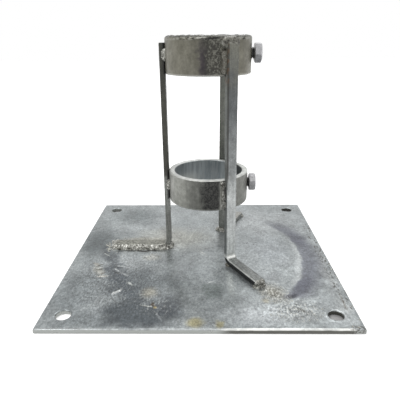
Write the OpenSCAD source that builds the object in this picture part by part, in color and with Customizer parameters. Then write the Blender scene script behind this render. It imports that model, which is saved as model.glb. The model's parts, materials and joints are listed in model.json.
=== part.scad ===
// Roof mast bracket: a square plate that bolts to a flat roof or wall, three bent
// flat-bar legs, and two pipe rings that hold a mast, each with one clamp bolt.
// Millimetres. The origin is the centre of the plate's underside, +Z is up.

/* [Plate] */
// Side of the square base plate
plate_w = 250; // [200:1:400]
// Thickness of the base plate
plate_t = 4; // [2:0.5:10]
// Diameter of the four fixing holes
hole_d = 12; // [6:0.5:16]
// Distance from a hole's centre to each of the two edges next to it
hole_inset = 18; // [12:0.5:30]

/* [Rings] */
// Outer diameter of the pipe that both rings are cut from
ring_od = 76.1; // [50:0.1:100]
// Wall of that pipe
ring_wall = 5.6; // [3:0.1:8]
// Height of the upper ring
upper_ring_h = 32; // [22:1:45]
// Height of the lower ring
lower_ring_h = 29; // [22:1:45]
// Clear height between the plate and the lower ring
lower_clear = 55; // [30:1:90]
// Clear height between the two rings
ring_gap = 89; // [40:1:160]
// Where the rings' axis stands, to the right of the plate's centre
mast_x = 8; // [-20:0.5:20]
// Where the rings' axis stands, behind the plate's centre
mast_y = 10; // [-20:0.5:20]

/* [Legs] */
// Width of the flat bar
leg_w = 10; // [8:0.5:16]
// Thickness of the flat bar
leg_t = 5; // [3:0.5:8]
// Inner radius of the bend between a leg and its foot
bend_r = 3.5; // [1:0.5:5]
// Length of the front and back feet, from the leg's inner face to the toe
foot_len = 50; // [35:1:70]
// Length of the left foot, which is the longest
left_foot_len = 58; // [35:1:70]
// How far the legs end below the upper ring's rim
leg_drop = 6; // [4:0.5:10]
// Direction of the left leg around the rings' axis, in degrees
left_angle = 180; // [170:1:190]
// Direction of the front leg
front_angle = -60; // [-70:1:-50]
// Direction of the back leg
back_angle = 65; // [50:1:75]
// How far the front leg leans to the left, in degrees
front_lean = 0.55; // [0:0.05:0.8]
// Gap that the front foot's welds hold open between it and the plate
front_lift = 1.2; // [0:0.1:1.4]

/* [Clamp bolts] */
// Thread diameter of the clamp bolts
thread_d = 10; // [8:1:12]
// Pitch of that thread
pitch = 1.5; // [1:0.25:2]
// Width of a bolt's head across its flats
head_af = 16; // [13:0.5:19]
// Height of a bolt's head
head_h = 6.4; // [5:0.1:8]
// Gap between the upper ring and its bolt's head, as the bolt is screwed in
upper_head_gap = 2.4; // [2:0.1:5]
// The same gap at the lower ring
lower_head_gap = 1.4; // [1:0.1:5]
// How far above the middle of its ring a bolt sits
bolt_rise = 1; // [0:0.1:2]
// Turn of the upper bolt's head from a corner facing the front, in degrees
upper_head_turn = 5; // [-30:0.5:30]
// Turn of the lower bolt's head
lower_head_turn = -22.5; // [-30:0.5:30]

/* [Welds] */
// Radius of a weld bead
bead_r = 3.4; // [2.4:0.1:4]
// Length of the short stitches that join the left and back legs to the rings
stitch_len = 11; // [8:1:18]
// Radius of the heavy weld on top of the front leg and round the left foot's toe
top_bead_r = 5.4; // [3.4:0.1:6]
// Radius of the long bead along the front edge of the left foot
long_bead_r = 5; // [3.4:0.1:5.4]
// Radius of the heavy blobs under the left and back bends
heel_blob_r = 4.4; // [3.4:0.1:4.6]
// How deep the middle of a bead lies inside the corner that it fills
bead_sink = 0.4; // [0.2:0.1:0.6]

/* [Hidden] */
$fn = 64;

ring_r = ring_od / 2;
bore_r = ring_r - ring_wall;
lower_z = plate_t + lower_clear;
upper_z = lower_z + lower_ring_h + ring_gap;
rim_z = upper_z + upper_ring_h;
leg_top = rim_z - leg_drop;
upper_mid = upper_z + upper_ring_h / 2;
lower_mid = lower_z + lower_ring_h / 2;
heel_r = bend_r + leg_t;
hole_at = plate_w / 2 - hole_inset;

// The bolts are alike. The lower one, which is screwed in further, ends flush with the bore.
bolt_len = ring_wall + min(upper_head_gap, lower_head_gap);
thread_slack = 0.05;
tip_chamfer = 0.55 * pitch;
head_corner_r = head_af / 2 / cos(30);
head_face_r = 0.475 * head_af;
head_chamfer = 30;

// A bead's middle lies this far to each side of the middle of a bar.
bead_at = leg_w / 2 - bead_sink;
// The long beads end clear of the top bead and of the rings' rims.
side_bead_slack = 1;
upper_long_top = leg_top - top_bead_r;
upper_long = upper_long_top - upper_z - side_bead_slack;
lower_long = lower_ring_h - 2 * side_bead_slack;
top_bead_len = leg_w + 1.2 * top_bead_r;
// The beads along the left foot run between its heel bead and its toe bead and clear of both.
foot_bead_from = heel_bead_at(heel_blob_r) + heel_blob_r + 0.4;
foot_bead_to = left_foot_len - top_bead_r - 0.8;

steel = [0.55, 0.56, 0.56];
dull_steel = [0.50, 0.50, 0.47];
dark_steel = [0.42, 0.43, 0.43];
bead_grey = [0.62, 0.61, 0.57];
bolt_grey = [0.68, 0.68, 0.69];

// Puts children on the rings' axis, turned so that +X points along a leg's foot.
module around_mast(angle = 0) {
    translate([mast_x, mast_y, 0])
        rotate([0, 0, angle])
            children();
}

// A bar with round ends along +Z, len long from end to end, centred on the origin.
module capsule(r, len) {
    straight = max(len - 2 * r, 0.2);
    translate([0, 0, -straight / 2])
        cylinder(r = r, h = straight);
    for (end = [-1, 1])
        translate([0, 0, end * straight / 2])
            sphere(r = r);
}

module ring(z, h) {
    around_mast()
        difference() {
            translate([0, 0, z])
                cylinder(r = ring_r, h = h, $fn = 128);
            translate([0, 0, z - 1])
                cylinder(r = bore_r, h = h + 2, $fn = 128);
            translate([bore_r - 3, 0, z + h / 2 + bolt_rise])
                rotate([0, 90, 0])
                    cylinder(r = thread_d / 2 + thread_slack, h = ring_wall + 6);
        }
}

// How far out a heel bead lies, so that the bend above it overlaps it by 0.45 of its radius.
function heel_bead_at(r, lift = 0) =
    heel_r - sqrt(pow(heel_r + 0.55 * r, 2) - pow(heel_r + bead_sink + lift, 2));

// How far aside the front leg, the only one that leans, has moved at a height.
function lean_shift(lean, z) = -tan(lean) * (z - plate_t - front_lift - heel_r);

// A straight bar with its low end on the XY plane, whose top end stands aside by shift.
module leaning_bar(t, w, h, shift) {
    rotate([90, 0, 90])
        linear_extrude(t)
            polygon([[0, 0], [w, 0], [w + shift, h], [shift, h]]);
}

// One flat bar: an upright that lies against both rings, a bend, and a foot on the plate.
module leg(angle, foot, lean = 0, lift = 0) {
    around_mast(angle)
        translate([ring_r, -leg_w / 2, plate_t + lift]) {
            translate([0, 0, heel_r])
                leaning_bar(leg_t, leg_w, leg_top - plate_t - lift - heel_r,
                            lean_shift(lean, leg_top));
            translate([heel_r, 0, 0])
                cube([foot - heel_r, leg_w, leg_t]);
            translate([heel_r, leg_w, heel_r])
                rotate([90, 0, 0])
                    rotate([0, 0, 180])
                        rotate_extrude(angle = 90)
                            translate([bend_r, 0])
                                square([leg_t, leg_w]);
        }
}

// Beads in the two corners between a leg's edges and a ring, from z_low to z_high.
module upright_beads(angle, z_low, z_high, lean = 0) {
    low_shift = lean_shift(lean, z_low - 1);
    high_shift = lean_shift(lean, z_high + 1);
    around_mast(angle)
        difference() {
            for (side = [-1, 1])
                translate([ring_r - bead_sink, side * bead_at + (low_shift + high_shift) / 2,
                           (z_low + z_high) / 2])
                    capsule(bead_r, z_high - z_low);
            translate([0, 0, z_low - 1])
                cylinder(r = ring_r, h = z_high - z_low + 2, $fn = 128);
            translate([ring_r - 2 * bead_r, low_shift - leg_w / 2, z_low - 1])
                leaning_bar(4 * bead_r + leg_t, leg_w, z_high - z_low + 2,
                            high_shift - low_shift);
        }
}

module stitches(angle, z_mid) {
    upright_beads(angle, z_mid - stitch_len / 2, z_mid + stitch_len / 2);
}

// A bead across the top end of a leg, against the upper ring.
module top_bead(angle, lean = 0) {
    low_shift = lean_shift(lean, leg_top - 2 * top_bead_r);
    high_shift = lean_shift(lean, leg_top);
    around_mast(angle)
        difference() {
            translate([ring_r - bead_sink, high_shift, leg_top - bead_sink])
                rotate([90, 0, 0])
                    capsule(top_bead_r, top_bead_len);
            translate([0, 0, leg_top - 2 * top_bead_r])
                cylinder(r = ring_r, h = 4 * top_bead_r, $fn = 128);
            translate([ring_r - top_bead_r, low_shift - leg_w / 2, leg_top - 2 * top_bead_r])
                leaning_bar(top_bead_r + leg_t, leg_w, 2 * top_bead_r, high_shift - low_shift);
        }
}

// Takes a bead's part below the plate's top away.
module above_plate(reach) {
    difference() {
        children();
        translate([-reach, -reach, plate_t - reach])
            cube([2 * reach, 2 * reach, reach]);
    }
}

// A bead across a foot's toe, on the plate.
module toe_bead(angle, foot, r) {
    around_mast(angle)
        translate([ring_r + foot, 0, 0])
            above_plate(4 * leg_w)
                difference() {
                    translate([-bead_sink, 0, plate_t - bead_sink])
                        rotate([90, 0, 0])
                            capsule(r, leg_w + r);
                    translate([-2 * r, -leg_w / 2, plate_t - r])
                        cube([2 * r, leg_w, leg_t + r]);
                }
}

// A bead under the bend of a leg, on the side of the mast.
module heel_bead(angle, r, len, lift = 0) {
    above_plate(plate_w)
        difference() {
            around_mast(angle)
                translate([ring_r + heel_bead_at(r, lift), 0, plate_t - bead_sink])
                    rotate([90, 0, 0])
                        capsule(r, len);
            around_mast(angle) {
                translate([ring_r + heel_r, leg_w, plate_t + lift + heel_r])
                    rotate([90, 0, 0])
                        cylinder(r = heel_r, h = 2 * leg_w);
                translate([ring_r + heel_r, -leg_w, plate_t + lift])
                    cube([foot_len, 2 * leg_w, leg_t]);
            }
        }
}

// A bead along one long edge of the left foot.
module foot_bead(side, r) {
    around_mast(left_angle)
        above_plate(plate_w)
            difference() {
                translate([ring_r + (foot_bead_from + foot_bead_to) / 2, side * bead_at,
                           plate_t - bead_sink])
                    rotate([0, 90, 0])
                        capsule(r, foot_bead_to - foot_bead_from);
                translate([ring_r, -leg_w / 2, plate_t - r])
                    cube([left_foot_len, leg_w, leg_t + 2 * r]);
            }
}

// Puts children at the underside of a bolt's head, with +Z along the bolt and outwards.
module at_head(z, gap) {
    around_mast()
        translate([ring_r + gap, 0, z])
            rotate([0, 90, 0])
                children();
}

module bolt_shank(z, gap) {
    color(bolt_grey)
        at_head(z, gap) {
            translate([0, 0, tip_chamfer - bolt_len])
                cylinder(d = thread_d, h = bolt_len - tip_chamfer);
            translate([0, 0, -bolt_len])
                cylinder(r1 = thread_d / 2 - tip_chamfer, r2 = thread_d / 2, h = tip_chamfer);
        }
}

module bolt_head(z, gap, turn) {
    color(bolt_grey)
        at_head(z, gap)
            rotate([0, 0, turn])
                intersection() {
                    rotate([0, 0, 30])
                        cylinder(r = head_corner_r, h = head_h, $fn = 6);
                    cylinder(r1 = head_face_r + head_h / tan(head_chamfer), r2 = head_face_r,
                             h = head_h);
                }
}

module base_plate() {
    color(steel)
        difference() {
            translate([-plate_w / 2, -plate_w / 2, 0])
                cube([plate_w, plate_w, plate_t]);
            for (x = [-hole_at, hole_at], y = [-hole_at, hole_at])
                translate([x, y, -1])
                    cylinder(d = hole_d, h = plate_t + 2);
        }
}

module left_leg() { color(dark_steel) leg(left_angle, left_foot_len); }
module front_leg() { color(steel) leg(front_angle, foot_len, front_lean, front_lift); }
module back_leg() { color(dark_steel) leg(back_angle, foot_len); }
module upper_ring() { color(dull_steel) ring(upper_z, upper_ring_h); }
module lower_ring() { color(dull_steel) ring(lower_z, lower_ring_h); }
module upper_bolt_shank() { bolt_shank(upper_mid + bolt_rise, upper_head_gap); }
module upper_bolt_head() {
    bolt_head(upper_mid + bolt_rise, upper_head_gap, upper_head_turn);
}
module lower_bolt_shank() { bolt_shank(lower_mid + bolt_rise, lower_head_gap); }
module lower_bolt_head() {
    bolt_head(lower_mid + bolt_rise, lower_head_gap, lower_head_turn);
}
module left_upper_weld() { color(bead_grey) stitches(left_angle, upper_mid); }
module left_lower_weld() { color(bead_grey) stitches(left_angle, lower_mid); }
module back_upper_weld() { color(bead_grey) stitches(back_angle, upper_mid); }
module back_lower_weld() { color(bead_grey) stitches(back_angle, lower_mid); }
module front_upper_weld() {
    color(bead_grey)
        upright_beads(front_angle, upper_long_top - upper_long, upper_long_top, front_lean);
}
module front_lower_weld() {
    color(bead_grey)
        upright_beads(front_angle, lower_mid - lower_long / 2, lower_mid + lower_long / 2,
                      front_lean);
}
module front_top_weld() { color(bead_grey) top_bead(front_angle, front_lean); }
module left_toe_weld() { color(bead_grey) toe_bead(left_angle, left_foot_len, top_bead_r); }
module front_toe_weld() { color(bead_grey) toe_bead(front_angle, foot_len, bead_r); }
module back_toe_weld() { color(bead_grey) toe_bead(back_angle, foot_len, bead_r); }
module left_heel_weld() {
    color(bead_grey) heel_bead(left_angle, heel_blob_r, leg_w + heel_blob_r);
}
module front_heel_weld() {
    color(bead_grey) heel_bead(front_angle, bead_r, leg_w + bead_r, front_lift);
}
module back_heel_weld() {
    color(bead_grey) heel_bead(back_angle, heel_blob_r, leg_w + 2 * heel_blob_r);
}
module left_side_weld() { color(bead_grey) foot_bead(-1, bead_r); }
module left_long_weld() { color(bead_grey) foot_bead(1, long_bead_r); }

base_plate();
left_leg();
front_leg();
back_leg();
upper_ring();
lower_ring();
upper_bolt_shank();
upper_bolt_head();
lower_bolt_shank();
lower_bolt_head();
left_upper_weld();
left_lower_weld();
front_upper_weld();
front_lower_weld();
back_upper_weld();
back_lower_weld();
front_top_weld();
left_toe_weld();
front_toe_weld();
back_toe_weld();
left_heel_weld();
front_heel_weld();
back_heel_weld();
left_side_weld();
left_long_weld();
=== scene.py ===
import json
import math
from functools import partialmethod

import bmesh
import bpy
from mathutils import Euler, Matrix, Vector, noise


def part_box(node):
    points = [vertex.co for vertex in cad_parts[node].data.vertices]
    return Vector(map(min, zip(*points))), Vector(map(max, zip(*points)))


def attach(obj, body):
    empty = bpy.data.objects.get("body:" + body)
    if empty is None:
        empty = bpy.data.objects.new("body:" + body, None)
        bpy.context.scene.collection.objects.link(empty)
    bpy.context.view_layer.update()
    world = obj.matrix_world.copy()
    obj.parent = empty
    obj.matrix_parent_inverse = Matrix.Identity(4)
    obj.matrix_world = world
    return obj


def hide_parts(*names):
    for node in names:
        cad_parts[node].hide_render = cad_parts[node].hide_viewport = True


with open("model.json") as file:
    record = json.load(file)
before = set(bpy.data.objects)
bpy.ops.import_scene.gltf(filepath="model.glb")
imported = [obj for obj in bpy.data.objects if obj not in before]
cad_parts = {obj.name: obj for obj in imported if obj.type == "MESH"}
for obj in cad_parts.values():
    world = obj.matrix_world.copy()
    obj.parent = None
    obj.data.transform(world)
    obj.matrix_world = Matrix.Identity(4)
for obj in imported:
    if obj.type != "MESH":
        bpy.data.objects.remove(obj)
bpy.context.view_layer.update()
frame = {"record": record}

# The looks of a roof mast bracket: a dipped base plate, three bent legs, two pipe rings,
# their weld beads and two clamp bolts. Lengths are millimetres until a mesh is finished.
MM = 0.001


def size_of(node):
    """A CAD node's lowest and highest corners, in millimetres."""
    low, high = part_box(node)
    return low / MM, high / MM


PLATE_LOW, PLATE_HIGH = size_of("base_plate")
PLATE_HALF = PLATE_HIGH.x
TOP = PLATE_HIGH.z
UPPER_LOW, UPPER_HIGH = size_of("upper_ring")
LOWER_LOW, LOWER_HIGH = size_of("lower_ring")
MAST = Vector(((UPPER_LOW.x + UPPER_HIGH.x) / 2, (UPPER_LOW.y + UPPER_HIGH.y) / 2, 0))
RING_R = (UPPER_HIGH.x - UPPER_LOW.x) / 2
BORE_R = frame["record"]["mounts"][0]["dims"]["r_mm"]
LEFT_LOW, LEFT_HIGH = size_of("left_leg")
LEG_TOP = LEFT_HIGH.z
BAR_W = LEFT_HIGH.y - LEFT_LOW.y
BAR_T = 5.0
BEND_R = 3.5
HEEL_R = BEND_R + BAR_T       # the outside of a bar's bend
# Each foot's length, each leg's bearing from the mast, the degrees it leans aside by, and how far
# its foot stands off the plate.
FOOT = {"left": MAST.x - LEFT_LOW.x - RING_R, "front": 50.0, "back": 50.0}
LEG_TURN = {"left": 180.0, "front": -60.0, "back": 65.0}
LEAN = {"left": 0.0, "front": 0.55, "back": 0.0}
LIFT = {"left": 0.0, "front": 1.2, "back": 0.0}
HOLE_AT = 107.0     # from the plate's middle lines
HOLE_R = 6.0
DARK_TURN = -88.0   # the bearing of each ring's dark patch, a painted reflection
BURN_UP = 11.0      # how far up a ring its violet stripe is strongest
BEAD_R = 3.4
TOP_BEAD_R = 5.4
LONG_BEAD_R = 5.0
CAP_BEAD_R = 2.6
HEEL_BLOB_R = 4.4
BEAD_SINK = 0.4     # how far a bead's middle lies inside the faces that it joins
BEAD_AT = BAR_W / 2 - BEAD_SINK
HEAD_AF = 16.0      # across the flats
THREAD_R = 5.0
PITCH = 1.5


# ---------------------------------------------------------------- node graphs

class Graph:
    """Short calls for the nodes that the finishes and the shape trees share."""

    def __init__(self, tree):
        self.tree = tree

    def node(self, kind, inputs=None, **settings):
        made = self.tree.nodes.new(kind)
        for key, value in settings.items():
            setattr(made, key, value)
        for key, value in (inputs or {}).items():
            self.feed(made.inputs[key], value)
        return made

    def feed(self, socket, value):
        if isinstance(value, bpy.types.NodeSocket):
            self.tree.links.new(value, socket)
        elif socket.type == "VECTOR":
            socket.default_value = value[:3]
        else:
            socket.default_value = value

    def math(self, operation, *values, clamp=False):
        made = self.node("ShaderNodeMath", operation=operation, use_clamp=clamp)
        for socket, value in zip(made.inputs, values):
            self.feed(socket, value)
        return made.outputs[0]

    plus = partialmethod(math, "ADD")
    minus = partialmethod(math, "SUBTRACT")
    over = partialmethod(math, "DIVIDE")
    larger = partialmethod(math, "MAXIMUM")
    smaller = partialmethod(math, "MINIMUM")

    def times(self, product, *factors):
        for factor in factors:
            product = self.math("MULTIPLY", product, factor)
        return product

    def apart(self, first, second):
        return self.math("ABSOLUTE", self.minus(first, second))

    def vector(self, operation, *values):
        made = self.node("ShaderNodeVectorMath", operation=operation)
        for socket, value in zip(made.inputs, values):
            self.feed(socket, value)
        return made.outputs["Value" if operation in ("LENGTH", "DOT_PRODUCT") else "Vector"]

    def scaled(self, vector, factor):
        made = self.node("ShaderNodeVectorMath", {0: vector}, operation="SCALE")
        self.feed(made.inputs["Scale"], factor)
        return made.outputs["Vector"]

    def span(self, value, low, high, start=0.0, end=1.0, smooth=True):
        """Carries value from low..high to start..end and holds it there outside."""
        kind = "SMOOTHSTEP" if smooth else "LINEAR"
        made = self.node("ShaderNodeMapRange", interpolation_type=kind)
        for socket, number in zip(made.inputs, (value, low, high, start, end)):
            self.feed(socket, number)
        return made.outputs[0]

    def band(self, value, outer_low, low, high, outer_high):
        """1 from low to high, fading to 0 at the outer two."""
        return self.times(self.span(value, outer_low, low), self.span(value, outer_high, high))

    def split(self, vector):
        return self.node("ShaderNodeSeparateXYZ", {0: vector}).outputs

    def joined(self, x, y, z):
        return self.node("ShaderNodeCombineXYZ", {0: x, 1: y, 2: z}).outputs[0]

    def grain(self, where, size, detail=2.0, rough=0.5):
        """Cloudy noise from about 0.25 to 0.75, whose lumps are about size long."""
        scale = 1 / size if isinstance(size, (int, float)) else self.over(1.0, size)
        wanted = {"Vector": where, "Scale": scale, "Detail": detail, "Roughness": rough}
        return self.node("ShaderNodeTexNoise", wanted)

    def read(self, what):
        """A shape tree's Position or Normal."""
        return self.node("GeometryNodeInput" + what).outputs[0]


# ---------------------------------------------------------------- shape trees

SOCKETS = {float: "NodeSocketFloat", int: "NodeSocketInt", tuple: "NodeSocketVector"}
NOWHERE = (0.0, 0.0, 0.0)
UP_TO_X = (0.0, math.pi / 2, 0.0)
BEND_STEPS = 12
CORNER_STEPS = 4
OUTLINE_STEP = 0.6
BEAD_STEP = 0.3


def start_tree(name, sizes):
    """A shape tree with a named input for each size, and the graph that fills it."""
    tree = bpy.data.node_groups.new(name, "GeometryNodeTree")
    sockets = tree.interface
    sockets.new_socket(name="Start", in_out="INPUT", socket_type="NodeSocketGeometry")
    for label, usual in sizes.items():
        kind = SOCKETS[type(usual)]
        sockets.new_socket(name=label, in_out="INPUT", socket_type=kind).default_value = usual
    sockets.new_socket(name="Finish", in_out="INPUT", socket_type="NodeSocketMaterial")
    sockets.new_socket(name="Shape", in_out="OUTPUT", socket_type="NodeSocketGeometry")
    return Graph(tree), tree.nodes.new("NodeGroupInput").outputs


def end_tree(graph, shape, given):
    """Ends a shape tree: real geometry, in metres, with its finish."""
    metres = graph.node("GeometryNodeTransform", {"Geometry": shape, "Scale": (MM, MM, MM)})
    real = graph.node("GeometryNodeRealizeInstances", {"Geometry": metres.outputs[0]})
    wanted = {"Geometry": real.outputs[0], "Material": given["Finish"]}
    coated = graph.node("GeometryNodeSetMaterial", wanted)
    graph.node("NodeGroupOutput", {0: coated.outputs[0]})
    return graph.tree


def pushed(graph, shape, offset):
    return graph.node("GeometryNodeSetPosition", {"Geometry": shape, "Offset": offset}).outputs[0]


def moved(graph, shape, shift, turn=NOWHERE):
    wanted = {"Geometry": shape, "Rotation": turn, "Translation": shift}
    return graph.node("GeometryNodeTransform", wanted).outputs[0]


def uneven(graph, shape, size, height, seed):
    """Raises and lowers a skin along its normals by half of height, in lumps of about size."""
    shifted = graph.vector("ADD", graph.read("Position"), graph.joined(seed, seed, seed))
    lumps = graph.grain(shifted, size, 3.0).outputs[0]
    raised = graph.times(graph.minus(lumps, 0.5), height)
    return pushed(graph, shape, graph.scaled(graph.read("Normal"), raised))


def filleted(graph, curve, radius, steps):
    """A curve whose corners are rounded to a radius, each in a number of steps."""
    soft = graph.node("GeometryNodeFilletCurve", {"Curve": curve, "Radius": radius}, mode="POLY")
    for socket in soft.inputs:
        if socket.name == "Count":
            socket.default_value = steps
    return soft.outputs[0]


def resampled(graph, curve, spacing):
    made = graph.node("GeometryNodeResampleCurve", {"Curve": curve}, mode="LENGTH")
    graph.feed(made.inputs["Length"], spacing)
    return made.outputs[0]


def rounded_outline(graph, width, height, corner):
    """A rectangle with rounded corners, to sweep."""
    flat = graph.node("GeometryNodeCurvePrimitiveQuadrilateral", {"Width": width, "Height": height})
    return resampled(graph, filleted(graph, flat.outputs[0], corner, CORNER_STEPS), OUTLINE_STEP)


def circle_line(graph, points, radius):
    wanted = {"Resolution": points, "Radius": radius}
    return graph.node("GeometryNodeCurvePrimitiveCircle", wanted).outputs[0]


def swept(graph, path, outline, size=1.0, capped=True):
    wanted = {"Curve": path, "Profile Curve": outline, "Scale": size, "Fill Caps": capped}
    return graph.node("GeometryNodeCurveToMesh", wanted).outputs[0]


def to_nearer_end(graph):
    """How far each point of a path is from the path's nearer end."""
    along = graph.node("GeometryNodeSplineParameter").outputs["Length"]
    whole = graph.node("GeometryNodeSplineLength").outputs["Length"]
    return graph.smaller(along, graph.minus(whole, along))


def bar_tree():
    """A flat bar: a rounded section swept along a path that is bent to a radius."""
    graph, given = start_tree("bent_flat_bar", {
        "Width": 10.0, "Thickness": 5.0, "Corner": 0.7, "Bend": 4.0, "Step": 0.8,
        "Wave size": 22.0, "Wave height": 0.2, "Pit size": 3.0, "Pit height": 0.1,
        "Turn": NOWHERE, "Foot of mast": NOWHERE, "Seed": 0.0})
    path = graph.node("GeometryNodeMeshToCurve", {"Mesh": given["Start"]}).outputs[0]
    line = resampled(graph, filleted(graph, path, given["Bend"], BEND_STEPS), given["Step"])
    wanted = {"Curve": line, "Normal": (0.0, 1.0, 0.0)}
    sideways = graph.node("GeometryNodeSetCurveNormal", wanted, mode="FREE").outputs[0]
    outline = rounded_outline(graph, given["Width"], given["Thickness"], given["Corner"])
    blunt = graph.span(to_nearer_end(graph), 0.0, 0.9, 0.93, 1.0)
    bar = swept(graph, sideways, outline, blunt)
    for kind in ("Wave", "Pit"):
        bar = uneven(graph, bar, given[kind + " size"], given[kind + " height"], given["Seed"])
    return end_tree(graph, moved(graph, bar, given["Foot of mast"], given["Turn"]), given)


def ring_tree():
    """A short piece of pipe: a rounded wall swept round, with a ragged top and a tapped hole."""
    graph, given = start_tree("pipe_ring", {
        "Middle radius": 35.0, "Wall": 5.6, "Height": 30.0, "Corner": 0.9, "Middle": NOWHERE,
        "Rim height": 0.5, "Rim size": 5.0, "Skin height": 0.35, "Skin size": 7.0, "Shoulder": 1.0,
        "Hole radius": 5.05, "Seed": 0.0})
    circle = circle_line(graph, 220, given["Middle radius"])
    outline = rounded_outline(graph, given["Wall"], given["Height"], given["Corner"])
    ring = shouldered(graph, swept(graph, circle, outline, capped=False), given)
    ring = uneven(graph, ring, given["Skin size"], given["Skin height"], given["Seed"])
    ring = ragged_top(graph, ring, given)
    wanted = {"Vertices": 48, "Radius": given["Hole radius"], "Depth": 20.0}
    drill = graph.node("GeometryNodeMeshCylinder", wanted).outputs[0]
    aimed = moved(graph, drill, graph.joined(given["Middle radius"], 0.0, 0.0), UP_TO_X)
    cut = graph.node("GeometryNodeMeshBoolean", {"Mesh 1": ring}, operation="DIFFERENCE")
    graph.feed(cut.inputs["Mesh 2"], aimed)
    return end_tree(graph, moved(graph, cut.outputs[0], given["Middle"]), given)


def shouldered(graph, ring, given):
    """Rounds the outer top edge of a ring off, where it was hammered and ground."""
    x, y, height = graph.split(graph.read("Position"))[:3]
    flat = graph.joined(x, y, 0.0)
    inward = graph.scaled(graph.vector("NORMALIZE", flat), -1.0)
    from_middle = graph.minus(graph.vector("LENGTH", flat), given["Middle radius"])
    wall, shoulder = given["Wall"], given["Shoulder"]
    outer = graph.span(from_middle, graph.times(wall, -0.1), graph.times(wall, 0.4))
    from_top = graph.minus(graph.times(given["Height"], 0.5), height)
    into = graph.smaller(graph.larger(graph.minus(shoulder, from_top), 0.0), shoulder)
    square = graph.minus(graph.math("POWER", shoulder, 2.0), graph.math("POWER", into, 2.0))
    pull = graph.minus(shoulder, graph.math("SQRT", graph.larger(square, 0.0)))
    return pushed(graph, ring, graph.scaled(inward, graph.times(pull, outer)))


def ragged_top(graph, ring, given):
    """Bites into a ring's top rim here and there."""
    place = graph.read("Position")
    share = graph.over(graph.split(place)[2], graph.times(given["Height"], 0.5))
    shifted = graph.vector("ADD", place, graph.joined(given["Seed"], 0.0, 0.0))
    flat = graph.vector("MULTIPLY", shifted, (1.0, 1.0, 0.0))
    lumps = graph.grain(flat, given["Rim size"], 4.0, 0.6).outputs[0]
    bite = graph.times(graph.span(lumps, 0.3, 0.68, -1.0, 0.0), given["Rim height"])
    drop = graph.times(bite, graph.span(share, 0.8, 1.0))
    return pushed(graph, ring, graph.joined(0.0, 0.0, drop))


def bead_tree():
    """A weld bead: a round-ended string of scalloped ripples along a short line."""
    graph, given = start_tree("weld_bead", {
        "Radius": 3.4, "Ripple": 1.7, "Ripple depth": 0.35, "Bow": 1.2, "Along": (1.0, 0.0, 0.0),
        "Face": (0.0, 0.0, 1.0), "Lump size": 3.0, "Lump height": 0.7, "Seed": 0.0})
    path = graph.node("GeometryNodeMeshToCurve", {"Mesh": given["Start"]}).outputs[0]
    line = resampled(graph, path, BEAD_STEP)
    into_cap = graph.minus(1.0, graph.over(to_nearer_end(graph), given["Radius"]), clamp=True)
    round_end = graph.math("SQRT", graph.minus(1.02, graph.times(into_cap, into_cap)))
    circle = circle_line(graph, 28, given["Radius"])
    string = swept(graph, line, circle, graph.smaller(round_end, 1.0))
    normal = graph.read("Normal")
    bowed = graph.times(graph.vector("DOT_PRODUCT", normal, given["Face"]), given["Bow"])
    run = graph.plus(graph.vector("DOT_PRODUCT", graph.read("Position"), given["Along"]), bowed)
    run = graph.times(graph.plus(run, given["Seed"]), math.pi)
    scallop = graph.math("ABSOLUTE", graph.math("SINE", graph.over(run, given["Ripple"])))
    groove = graph.times(graph.minus(scallop, 1.0), given["Ripple depth"])
    rippled = pushed(graph, string, graph.scaled(normal, groove))
    lumpy = uneven(graph, rippled, given["Lump size"], given["Lump height"], given["Seed"])
    return end_tree(graph, lumpy, given)


def thread_tree():
    """A fully threaded shank that lies along +X and ends at its head's underside."""
    graph, given = start_tree("threaded_shank", {
        "Length": 8.0, "Radius": 5.0, "Depth": 0.9, "Pitch": 1.5, "Chamfer": 0.8,
        "Head underside": NOWHERE})
    wanted = {"Vertices": 64, "Side Segments": 96, "Fill Segments": 4, "Radius": given["Radius"]}
    rod = graph.node("GeometryNodeMeshCylinder", wanted)
    graph.feed(rod.inputs["Depth"], given["Length"])
    x, y, z = graph.split(graph.read("Position"))[:3]
    turn = graph.over(graph.math("ARCTAN2", y, x), 2 * math.pi)
    phase = graph.minus(graph.over(z, given["Pitch"]), turn)
    tooth = graph.times(graph.math("PINGPONG", phase, 0.5), 2.0)
    groove = graph.times(graph.span(tooth, 0.12, 0.8, smooth=False), given["Depth"])
    half = graph.times(given["Length"], 0.5)
    chamfer = graph.larger(graph.minus(given["Chamfer"], graph.plus(z, half)), 0.0)
    flat = graph.joined(x, y, 0.0)
    skin = graph.minus(given["Radius"], 0.01)
    on_side = graph.span(graph.vector("LENGTH", flat), skin, given["Radius"])
    pull = graph.times(graph.larger(groove, chamfer), on_side, -1.0)
    threaded = pushed(graph, rod.outputs[0], graph.scaled(graph.vector("NORMALIZE", flat), pull))
    shift = graph.vector("SUBTRACT", given["Head underside"], graph.joined(half, 0.0, 0.0))
    return end_tree(graph, moved(graph, threaded, shift, UP_TO_X), given)


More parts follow.
